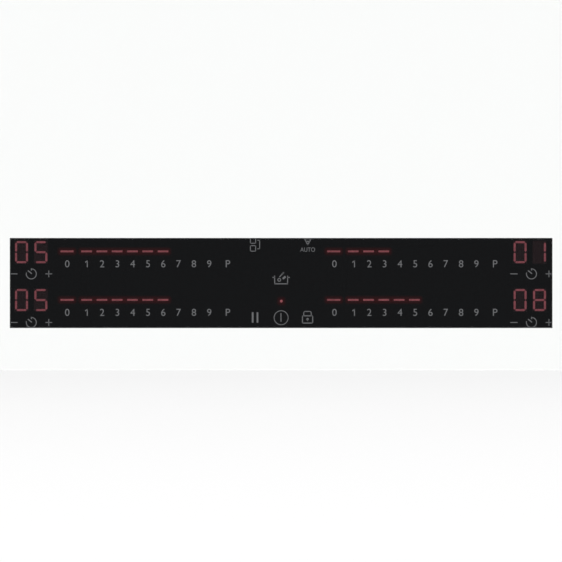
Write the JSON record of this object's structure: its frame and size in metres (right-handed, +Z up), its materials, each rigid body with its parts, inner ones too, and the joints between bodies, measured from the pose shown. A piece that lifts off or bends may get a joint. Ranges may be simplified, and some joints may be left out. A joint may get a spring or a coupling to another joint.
{
  "type": "induction hob",
  "caption": "Built-in induction hob: white glass plate with an inset black touch-control window, over a steel casing with coils, fans, boards, terminal box and clamps.",
  "frame": {"origin": "middle of the casing's underside", "axes": "+X to the right, +Y away from the user, +Z up through the glass"},
  "size_m": [0.78, 0.52, 0.052],
  "materials": {
    "white_plate": "white glass-ceramic, polished",
    "black_window": "smoked glass, polished",
    "silicone": "matt silicone",
    "seal_foam": "closed-cell foam",
    "galvanised_sheet": "galvanised sheet",
    "mask_film": "matt black film",
    "black_plastic": "moulded",
    "circuit_board": "solder mask",
    "red_light": "lit diffuser",
    "light_plastic": "diffusing plastic",
    "touch_spring": "plated wire",
    "chips": "moulded epoxy",
    "ribbon": "flat cable",
    "zinc_steel": "zinc plated",
    "terminal_insulator": "moulded",
    "cradle_plastic": "moulded",
    "aluminium": "mill finish",
    "power_components": "moulded",
    "filter_components": "moulded",
    "ferrite": "sintered",
    "copper": "lacquered litz wire",
    "mica": "pressed sheet",
    "sensor_ceramic": "unglazed",
    "spring_steel": "drawn wire"
  },
  "bodies": {
    "root": {"glass_plate": "white_plate", "control_glass": "black_window", "window_joint": "silicone", "rim_seal": "seal_foam", "mounting_frame": "galvanised_sheet", "mask_sheet": "mask_film", "control_housing": "black_plastic", "control_board": "circuit_board", "timer_displays": "black_plastic", "display_segments": "red_light", "slider_lights": "red_light", "light_guides": "light_plastic", "touch_springs": "touch_spring", "control_parts": "chips", "control_ribbon": "ribbon", "casing_tray": "galvanised_sheet", "casing_screws": "zinc_steel", "terminal_box": "black_plastic", "terminal_block": "terminal_insulator", "clamp_rivets": "zinc_steel", "board_cradle_left": "cradle_plastic", "board_cradle_right": "cradle_plastic", "power_board_left": "circuit_board", "power_board_right": "circuit_board", "heatsink_left": "aluminium", "heatsink_right": "aluminium", "power_transistors": "chips", "power_parts_left": "power_components", "power_parts_right": "power_components", "coil_springs_left": "spring_steel", "coil_springs_right": "spring_steel", "coil_leads_left": "copper", "coil_leads_right": "copper", "fan_frame_left": "black_plastic", "fan_frame_right": "black_plastic", "air_duct": "light_plastic", "filter_board": "circuit_board", "filter_parts": "filter_components"},
    "coil_left": {"coil_plate_left": "aluminium", "ferrites_left": "ferrite", "windings_left": "copper", "mica_left": "mica", "sensors_left": "sensor_ceramic"},
    "fan_left": {"fan_rotor_left": "black_plastic"},
    "coil_right": {"coil_plate_right": "aluminium", "ferrites_right": "ferrite", "windings_right": "copper", "mica_right": "mica", "sensors_right": "sensor_ceramic"},
    "fan_right": {"fan_rotor_right": "black_plastic"},
    "cover": {"terminal_cover": "black_plastic"},
    "arm_front_left": {"clamp_arm_front_left": "zinc_steel"},
    "screw_front_left": {"clamp_screw_front_left": "zinc_steel"},
    "arm_front_right": {"clamp_arm_front_right": "zinc_steel"},
    "screw_front_right": {"clamp_screw_front_right": "zinc_steel"},
    "arm_rear_left": {"clamp_arm_rear_left": "zinc_steel"},
    "screw_rear_left": {"clamp_screw_rear_left": "zinc_steel"},
    "arm_rear_right": {"clamp_arm_rear_right": "zinc_steel"},
    "screw_rear_right": {"clamp_screw_rear_right": "zinc_steel"}
  },
  "joints": [
    {"name": "coil_left_press", "type": "slide", "parent": "root", "child": "coil_left", "axis": [0, 0, 1], "range_m": [-0.003, 0], "stiffness_N_per_m": 6000, "springref_m": 0.008, "deforming": ["coil_springs_left", "coil_leads_left"]},
    {"name": "coil_right_press", "type": "slide", "parent": "root", "child": "coil_right", "axis": [0, 0, 1], "range_m": [-0.003, 0], "stiffness_N_per_m": 6000, "springref_m": 0.008, "deforming": ["coil_springs_right", "coil_leads_right"]},
    {"name": "fan_left_spin", "type": "hinge", "parent": "root", "child": "fan_left", "pos_m": [-0.062, 0.045, 0.013], "axis": [0, 0, 1], "continuous": true},
    {"name": "fan_right_spin", "type": "hinge", "parent": "root", "child": "fan_right", "pos_m": [0.062, 0.045, 0.013], "axis": [0, 0, 1], "continuous": true},
    {"name": "terminal_cover_hinge", "type": "hinge", "parent": "root", "child": "cover", "pos_m": [0.1, 0.2385, 0.0308], "axis": [1, 0, 0], "range_deg": [0, 85]},
    {"name": "clamp_front_left_swing", "type": "hinge", "parent": "root", "child": "arm_front_left", "pos_m": [-0.3545, -0.13, 0.0065], "axis": [0, 0, 1], "range_deg": [0, 65]},
    {"name": "clamp_front_left_raise", "type": "slide", "parent": "arm_front_left", "child": "screw_front_left", "axis": [0, 0, 1], "range_m": [0, 0.006]},
    {"name": "clamp_front_right_swing", "type": "hinge", "parent": "root", "child": "arm_front_right", "pos_m": [0.3545, -0.13, 0.0065], "axis": [0, 0, -1], "range_deg": [0, 65]},
    {"name": "clamp_front_right_raise", "type": "slide", "parent": "arm_front_right", "child": "screw_front_right", "axis": [0, 0, 1], "range_m": [0, 0.006]},
    {"name": "clamp_rear_left_swing", "type": "hinge", "parent": "root", "child": "arm_rear_left", "pos_m": [-0.3545, 0.13, 0.0065], "axis": [0, 0, -1], "range_deg": [0, 65]},
    {"name": "clamp_rear_left_raise", "type": "slide", "parent": "arm_rear_left", "child": "screw_rear_left", "axis": [0, 0, 1], "range_m": [0, 0.006]},
    {"name": "clamp_rear_right_swing", "type": "hinge", "parent": "root", "child": "arm_rear_right", "pos_m": [0.3545, 0.13, 0.0065], "axis": [0, 0, 1], "range_deg": [0, 65]},
    {"name": "clamp_rear_right_raise", "type": "slide", "parent": "arm_rear_right", "child": "screw_rear_right", "axis": [0, 0, 1], "range_m": [0, 0.006]}
  ]
}
